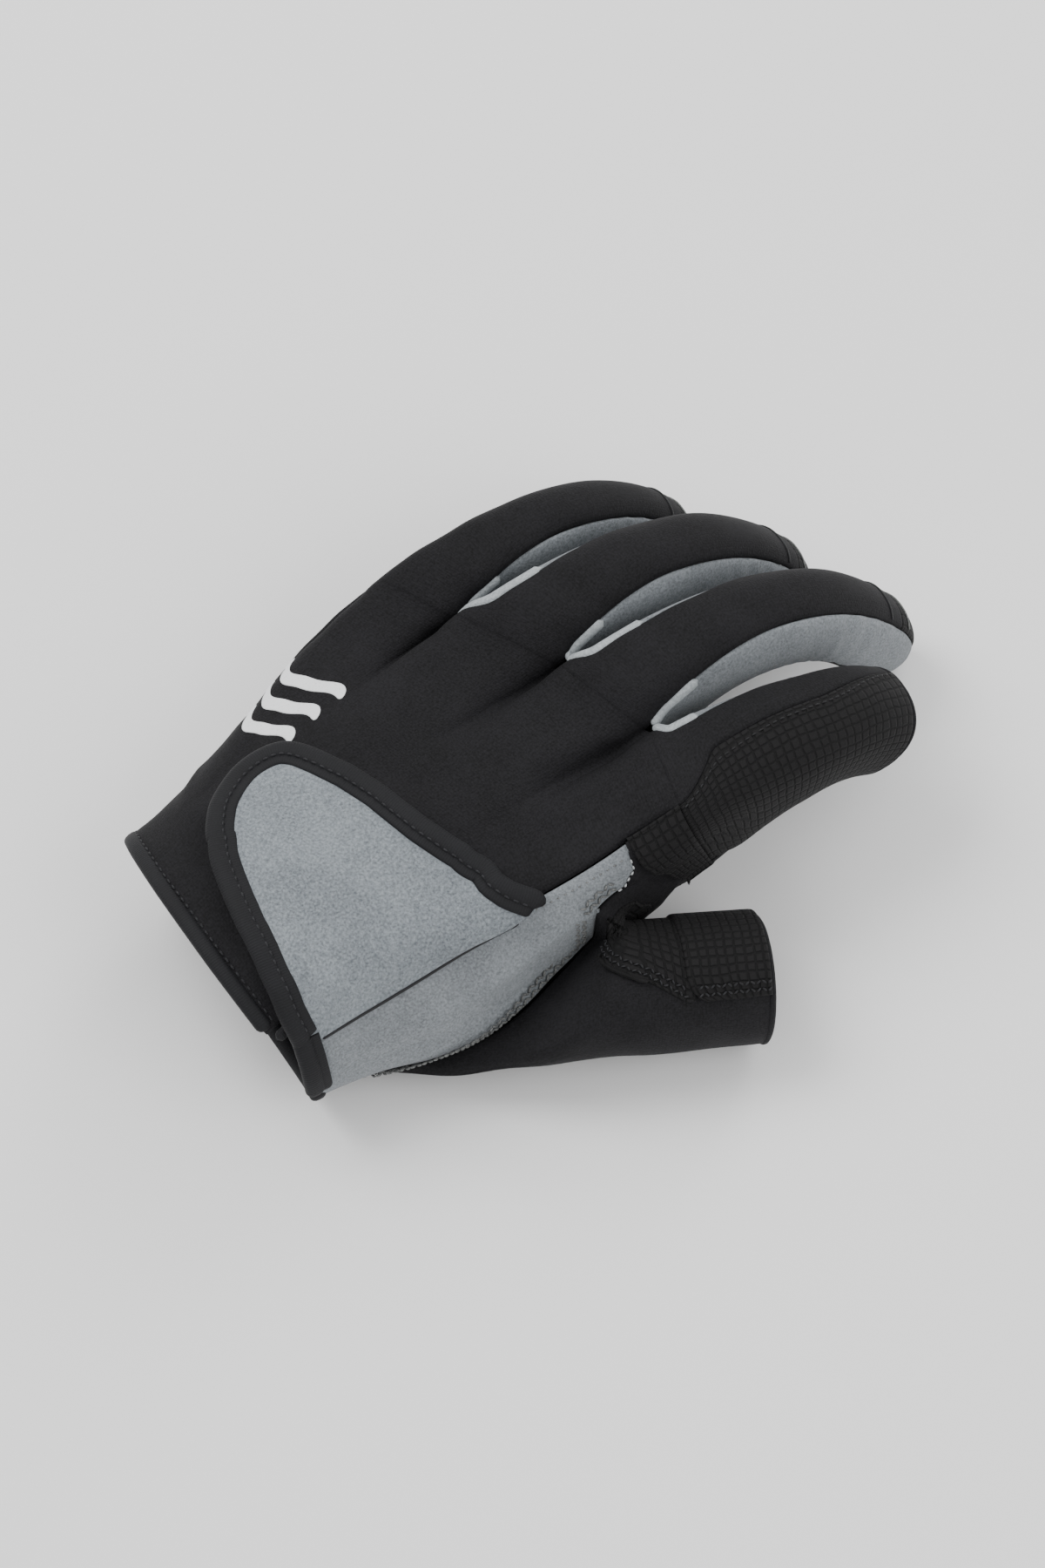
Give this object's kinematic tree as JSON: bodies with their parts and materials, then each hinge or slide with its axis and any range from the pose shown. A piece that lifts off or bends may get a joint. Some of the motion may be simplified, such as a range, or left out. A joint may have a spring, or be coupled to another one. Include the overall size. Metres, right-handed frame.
{
  "type": "sailing glove",
  "caption": "Left-hand sailing glove with full-length outer fingers, cut-short thumb and index finger, grip palm and a wrap-over wrist tab with a touch fastener.",
  "frame": {"origin": "centre of the bounding box in plan, on the surface that the glove lies on", "axes": "+X from the cuff to the fingertips, +Y towards the little finger, +Z out of the back of the hand"},
  "size_m": [0.1922, 0.1358, 0.0574],
  "materials": {
    "black_knit": "matte stretch knit, near black",
    "palm_grip": "hard-wearing synthetic suede printed with small raised grip squares",
    "grey_suede": "fuzzy pale grey synthetic suede",
    "binding": "folded elastic edge binding",
    "touch_fastener": "hook and loop pile"
  },
  "bodies": {
    "hand": {"back_panel": "black_knit", "palm_panel": "palm_grip", "side_gusset": "grey_suede", "thumb_web": "palm_grip", "thenar_panel": "black_knit", "web_index_middle": "grey_suede", "web_middle_ring": "grey_suede", "web_ring_little": "grey_suede", "heel_patch": "palm_grip", "loop_patch": "touch_fastener", "cuff_binding": "binding", "slit_binding": "binding", "index_patch_root": "palm_grip"},
    "tab": {"tab_panel": "grey_suede", "tab_binding": "binding", "hook_patch": "touch_fastener"},
    "index": {"index_back": "black_knit", "index_side": "grey_suede", "index_palm": "palm_grip", "index_patch": "palm_grip", "index_hem": "binding"},
    "middle": {"middle_back": "black_knit", "middle_side_outer": "grey_suede", "middle_side_inner": "grey_suede", "middle_palm": "palm_grip", "middle_tip": "palm_grip"},
    "ring": {"ring_back": "black_knit", "ring_side_outer": "grey_suede", "ring_side_inner": "grey_suede", "ring_palm": "palm_grip", "ring_tip": "palm_grip"},
    "little": {"little_back": "black_knit", "little_side": "grey_suede", "little_palm": "palm_grip", "little_tip": "palm_grip"},
    "thumb": {"thumb_back": "black_knit", "thumb_palm": "palm_grip", "thumb_patch": "palm_grip", "thumb_hem": "binding"}
  },
  "joints": [
    {"name": "little_flex", "type": "hinge", "parent": "hand", "child": "little", "pos_m": [0.0065, 0.0581, 0.0375], "axis": [0, 1, 0], "range_deg": [-15, 45], "stiffness_Nm_per_rad": 0.3},
    {"name": "ring_flex", "type": "hinge", "parent": "hand", "child": "ring", "pos_m": [0.02, 0.0356, 0.042], "axis": [0, 1, 0], "range_deg": [-15, 45], "stiffness_Nm_per_rad": 0.3},
    {"name": "middle_flex", "type": "hinge", "parent": "hand", "child": "middle", "pos_m": [0.028, 0.0113, 0.043], "axis": [0, 1, 0], "range_deg": [-15, 45], "stiffness_Nm_per_rad": 0.3},
    {"name": "index_flex", "type": "hinge", "parent": "hand", "child": "index", "pos_m": [0.028, -0.0152, 0.0395], "axis": [0, 1, 0], "range_deg": [-15, 45], "stiffness_Nm_per_rad": 0.3},
    {"name": "thumb_swing", "type": "hinge", "parent": "hand", "child": "thumb", "pos_m": [-0.0095, -0.0437, 0.0179], "axis": [0, 0, 1], "range_deg": [-15, 12], "stiffness_Nm_per_rad": 0.3},
    {"name": "tab_peel", "type": "hinge", "parent": "hand", "child": "tab", "pos_m": [-0.0525, -0.0284, 0.0385], "axis": [0.9844, 0.02, 0.1751], "range_deg": [0, 150]}
  ]
}
